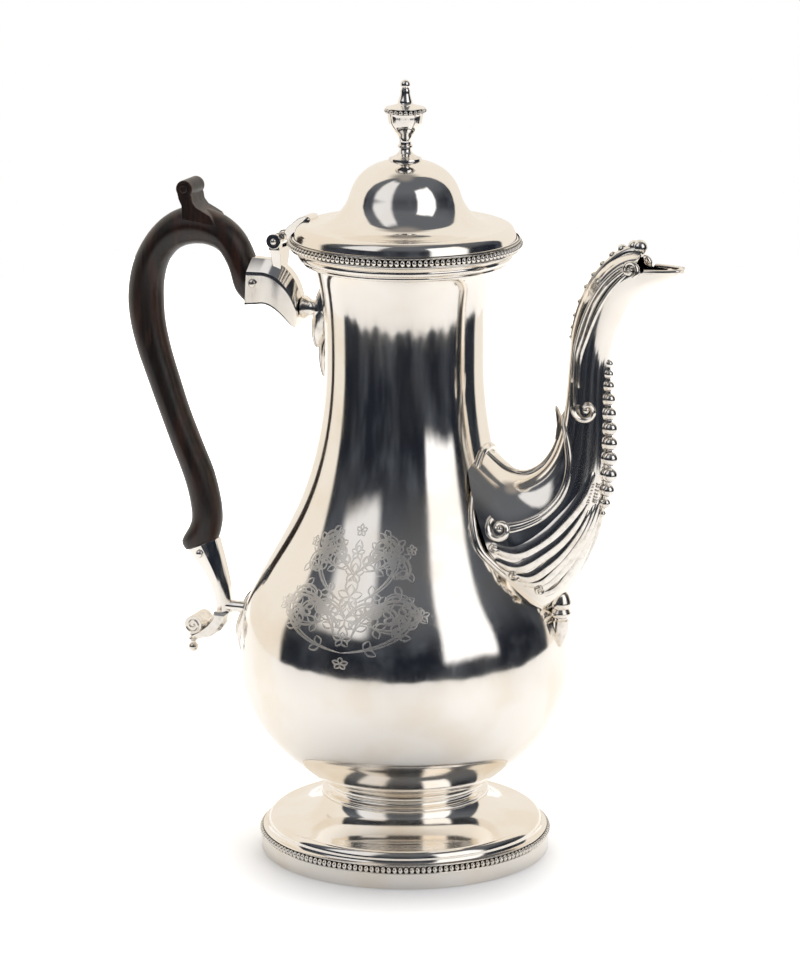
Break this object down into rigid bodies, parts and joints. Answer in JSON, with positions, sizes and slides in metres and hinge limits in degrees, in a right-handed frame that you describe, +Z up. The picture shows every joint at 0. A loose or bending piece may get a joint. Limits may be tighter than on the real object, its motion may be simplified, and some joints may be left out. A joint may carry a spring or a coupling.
{
  "type": "coffee pot",
  "caption": "Baluster silver coffee pot with a hinged domed lid, urn finial, swan-neck spout, carved wooden handle and beaded spreading foot.",
  "frame": {"origin": "centre of the foot, on the plane it stands on", "axes": "+Z up, +X to the spout's tip, -X to the handle, the engraved side faces -Y"},
  "size_m": [0.2282, 0.129, 0.305],
  "materials": {
    "silver": "polished silver with fine rubbing marks",
    "worn_silver": "cast and beaded silver, dark in its hollows",
    "dark_wood": "dark carved fruitwood, waxed"
  },
  "bodies": {
    "pot": {"vessel_bowl": "silver", "vessel_shoulder": "silver", "vessel_neck": "silver", "rim_wire": "silver", "stem_collar": "silver", "foot_dome": "silver", "foot_band": "silver", "foot_bead_wire": "worn_silver", "spout_near_half": "silver", "spout_far_half": "silver", "spout_bead_row": "worn_silver", "spout_crest": "worn_silver", "spout_drop": "worn_silver", "upper_socket": "silver", "upper_strut": "worn_silver", "upper_plate": "worn_silver", "upper_handle_pin": "worn_silver", "hinge_bracket": "silver", "hinge_pin": "worn_silver", "handle": "dark_wood", "lower_socket": "silver", "lower_strut": "worn_silver", "lower_plate": "worn_silver", "lower_handle_pin": "worn_silver", "terminal_scroll": "silver", "terminal_drop": "worn_silver"},
    "lid": {"lid_cover": "silver", "lid_edge_ring": "silver", "lid_bead_wire": "worn_silver", "lid_bezel": "silver", "lid_hinge_leaf": "silver", "finial_foot": "worn_silver", "finial_urn": "silver", "finial_bead_ring": "worn_silver", "finial_cap": "silver", "finial_stud": "worn_silver", "finial_washer": "worn_silver", "finial_nut": "worn_silver"}
  },
  "joints": [
    {"name": "lid_hinge", "type": "hinge", "parent": "pot", "child": "lid", "pos_m": [-0.0524, 0, 0.2399], "axis": [0, -1, 0], "range_deg": [0, 100]}
  ]
}
